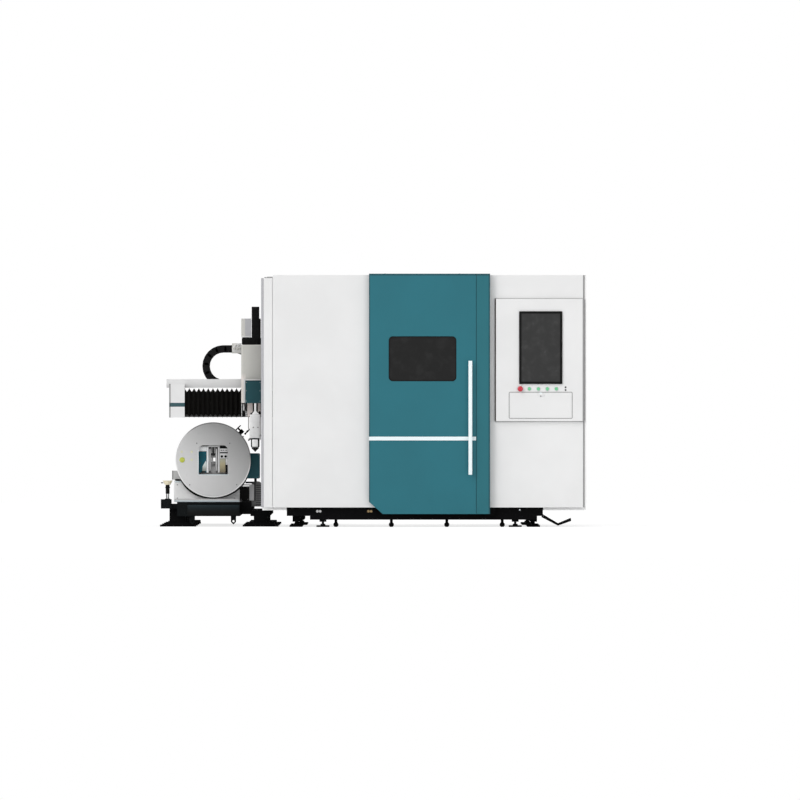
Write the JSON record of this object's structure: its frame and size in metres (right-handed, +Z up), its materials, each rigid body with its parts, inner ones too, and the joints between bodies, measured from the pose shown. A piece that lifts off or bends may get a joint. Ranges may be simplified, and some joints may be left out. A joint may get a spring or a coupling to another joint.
{
  "type": "fiber laser cutting machine",
  "caption": "Enclosed sheet and tube laser cutter: sliding door, hinged console, gantry with cutting head, turning roller chucks and exchange pallets.",
  "frame": {"origin": "middle of the whole footprint at floor level", "axes": "+X to the right seen from the front, +Y from the operator's end to the pallet end along the longest side, +Z up"},
  "size_m": [3.715, 8.31, 2.2063],
  "materials": {
    "white_skin": "fine powder coat, white",
    "teal_paint": "satin teal powder coat",
    "dark_teal": "satin dark teal powder coat",
    "black_paint": "satin black",
    "bed_paint": "textured black",
    "navy_paint": "satin dark navy",
    "column_grey": "satin warm grey",
    "cover_grey": "satin light grey",
    "light_plate": "satin off-white",
    "machined_steel": "ground and brushed",
    "rail_steel": "ground",
    "slat_steel": "mill finish, heat marked",
    "bellows_fabric": "coated cloth, matte black",
    "chain_plastic": "matte black",
    "window_glass": "dark laser-safe pane, gloss",
    "screen_glass": "dark screen, gloss",
    "screen_frame": "matte black",
    "console_paint": "satin white",
    "handle_paint": "satin white",
    "stop_red": "gloss red",
    "button_green": "gloss green",
    "keyboard_plastic": "matte",
    "motor_black": "satin black",
    "head_silver": "anodised",
    "nozzle_black": "satin black",
    "support_nylon": "cream nylon"
  },
  "bodies": {
    "machine": {"bed_frame": "bed_paint", "levelling_feet": "black_paint", "linear_rails": "rail_steel", "front_skin_left": "white_skin", "front_skin_right": "white_skin", "side_skin_left": "white_skin", "side_skin_right": "white_skin", "rear_skin": "white_skin", "roof_skin": "white_skin", "door_post": "teal_paint", "door_track": "rail_steel", "exchange_frame": "bed_paint", "tube_bed": "navy_paint", "tube_pedestals": "bed_paint", "front_chuck_housing": "light_plate", "chuck_motor": "dark_teal", "drive_box": "black_paint", "air_valve": "black_paint"},
    "door": {"door_panel": "teal_paint", "door_window": "window_glass", "door_trim": "handle_paint", "door_handle": "handle_paint"},
    "console": {"console_door": "console_paint", "monitor_frame": "screen_frame", "monitor_screen": "screen_glass"},
    "flap": {"keyboard_flap": "console_paint", "keyboard": "keyboard_plastic"},
    "stop_push_button": {"stop_button": "stop_red"},
    "gantry": {"gantry_beam": "column_grey", "beam_cover": "cover_grey", "beam_end_cap": "light_plate", "bellows_left": "bellows_fabric", "bellows_right": "bellows_fabric", "cable_chain": "chain_plastic"},
    "carriage": {"carriage_plate": "black_paint", "z_column": "column_grey", "z_motor": "motor_black", "sensor_box": "column_grey"},
    "z_slide": {"slide_cover": "dark_teal", "cutting_head": "head_silver", "nozzle": "nozzle_black"},
    "front_rotor": {"chuck_disc": "machined_steel"},
    "rear_carriage": {"rear_chuck_carriage": "light_plate"},
    "rear_rotor": {"rear_chuck_rotor": "machined_steel"},
    "side_support": {"support_rod": "black_paint", "support_cup": "support_nylon"},
    "upper_pallet": {"pallet_upper": "slat_steel"},
    "lower_pallet": {"pallet_lower": "slat_steel"},
    "push_button_1": {"green_button_1": "button_green"},
    "push_button_2": {"green_button_2": "button_green"},
    "push_button_3": {"green_button_3": "button_green"},
    "push_button_4": {"green_button_4": "button_green"},
    "front_right_jaw": {"front_jaw_right": "machined_steel"},
    "front_top_jaw": {"front_jaw_top": "machined_steel"},
    "front_left_jaw": {"front_jaw_left": "machined_steel"},
    "front_bottom_jaw": {"front_jaw_bottom": "machined_steel"},
    "rear_right_jaw": {"rear_jaw_right": "machined_steel"},
    "rear_top_jaw": {"rear_jaw_top": "machined_steel"},
    "rear_left_jaw": {"rear_jaw_left": "machined_steel"},
    "rear_bottom_jaw": {"rear_jaw_bottom": "machined_steel"}
  },
  "joints": [
    {"name": "door_slide", "type": "slide", "parent": "machine", "child": "door", "axis": [-1, 0, 0], "range_m": [0, 0.88]},
    {"name": "console_hinge", "type": "hinge", "parent": "machine", "child": "console", "pos_m": [1.8435, -4.0253, 1.453], "axis": [0, 0, 1], "range_deg": [0, 90]},
    {"name": "flap_hinge", "type": "hinge", "parent": "console", "child": "flap", "pos_m": [1.462, -4.0593, 0.949], "axis": [1, 0, 0], "range_deg": [0, 90]},
    {"name": "stop_push", "type": "slide", "parent": "console", "child": "stop_push_button", "axis": [0, 1, 0], "range_m": [0, 0.006], "stiffness_N_per_m": 600, "springref_m": -0.004},
    {"name": "green_push_1", "type": "slide", "parent": "console", "child": "push_button_1", "axis": [0, 1, 0], "range_m": [0, 0.004], "stiffness_N_per_m": 400, "springref_m": -0.003},
    {"name": "green_push_2", "type": "slide", "parent": "console", "child": "push_button_2", "axis": [0, 1, 0], "range_m": [0, 0.004], "stiffness_N_per_m": 400, "springref_m": -0.003},
    {"name": "green_push_3", "type": "slide", "parent": "console", "child": "push_button_3", "axis": [0, 1, 0], "range_m": [0, 0.004], "stiffness_N_per_m": 400, "springref_m": -0.003},
    {"name": "green_push_4", "type": "slide", "parent": "console", "child": "push_button_4", "axis": [0, 1, 0], "range_m": [0, 0.004], "stiffness_N_per_m": 400, "springref_m": -0.003},
    {"name": "gantry_travel", "type": "slide", "parent": "machine", "child": "gantry", "axis": [0, 1, 0], "range_m": [0, 3]},
    {"name": "carriage_travel", "type": "slide", "parent": "gantry", "child": "carriage", "axis": [1, 0, 0], "range_m": [-0.369, 1.95], "deforming": ["bellows_left", "bellows_right", "cable_chain"]},
    {"name": "z_travel", "type": "slide", "parent": "carriage", "child": "z_slide", "axis": [0, 0, 1], "range_m": [-0.15, 0.15]},
    {"name": "front_chuck_spin", "type": "hinge", "parent": "machine", "child": "front_rotor", "pos_m": [-1.3925, -3.025, 0.582], "axis": [0, 1, 0], "continuous": true},
    {"name": "rear_chuck_travel", "type": "slide", "parent": "machine", "child": "rear_carriage", "axis": [0, 1, 0], "range_m": [-2.5, 3]},
    {"name": "rear_chuck_spin", "type": "hinge", "parent": "rear_carriage", "child": "rear_rotor", "pos_m": [-1.3925, 0.275, 0.582], "axis": [0, 1, 0], "continuous": true},
    {"name": "front_jaw_right_travel", "type": "slide", "parent": "front_rotor", "child": "front_right_jaw", "axis": [1, 0, 0], "range_m": [0, 0.085]},
    {"name": "front_jaw_top_travel", "type": "slide", "parent": "front_rotor", "child": "front_top_jaw", "axis": [0, 0, 1], "range_m": [0, 0.085]},
    {"name": "front_jaw_left_travel", "type": "slide", "parent": "front_rotor", "child": "front_left_jaw", "axis": [-1, 0, 0], "range_m": [0, 0.085]},
    {"name": "front_jaw_bottom_travel", "type": "slide", "parent": "front_rotor", "child": "front_bottom_jaw", "axis": [0, 0, -1], "range_m": [0, 0.085]},
    {"name": "rear_jaw_right_travel", "type": "slide", "parent": "rear_rotor", "child": "rear_right_jaw", "axis": [1, 0, 0], "range_m": [0, 0.085]},
    {"name": "rear_jaw_top_travel", "type": "slide", "parent": "rear_rotor", "child": "rear_top_jaw", "axis": [0, 0, 1], "range_m": [0, 0.085]},
    {"name": "rear_jaw_left_travel", "type": "slide", "parent": "rear_rotor", "child": "rear_left_jaw", "axis": [-1, 0, 0], "range_m": [0, 0.085]},
    {"name": "rear_jaw_bottom_travel", "type": "slide", "parent": "rear_rotor", "child": "rear_bottom_jaw", "axis": [0, 0, -1], "range_m": [0, 0.085]},
    {"name": "support_lift", "type": "slide", "parent": "machine", "child": "side_support", "axis": [0, 0, 1], "range_m": [0, 0.06]},
    {"name": "upper_pallet_travel", "type": "slide", "parent": "machine", "child": "upper_pallet", "axis": [0, 1, 0], "range_m": [0, 4.35]},
    {"name": "lower_pallet_travel", "type": "slide", "parent": "machine", "child": "lower_pallet", "axis": [0, 1, 0], "range_m": [-4.35, 0]}
  ],
  "couplings": [
    {"joint": "rear_chuck_spin", "follows": "front_chuck_spin", "ratio": 1},
    {"joint": "front_jaw_top_travel", "follows": "front_jaw_right_travel", "ratio": 1},
    {"joint": "front_jaw_left_travel", "follows": "front_jaw_right_travel", "ratio": 1},
    {"joint": "front_jaw_bottom_travel", "follows": "front_jaw_right_travel", "ratio": 1},
    {"joint": "rear_jaw_top_travel", "follows": "rear_jaw_right_travel", "ratio": 1},
    {"joint": "rear_jaw_left_travel", "follows": "rear_jaw_right_travel", "ratio": 1},
    {"joint": "rear_jaw_bottom_travel", "follows": "rear_jaw_right_travel", "ratio": 1},
    {"joint": "lower_pallet_travel", "follows": "upper_pallet_travel", "ratio": -1}
  ]
}
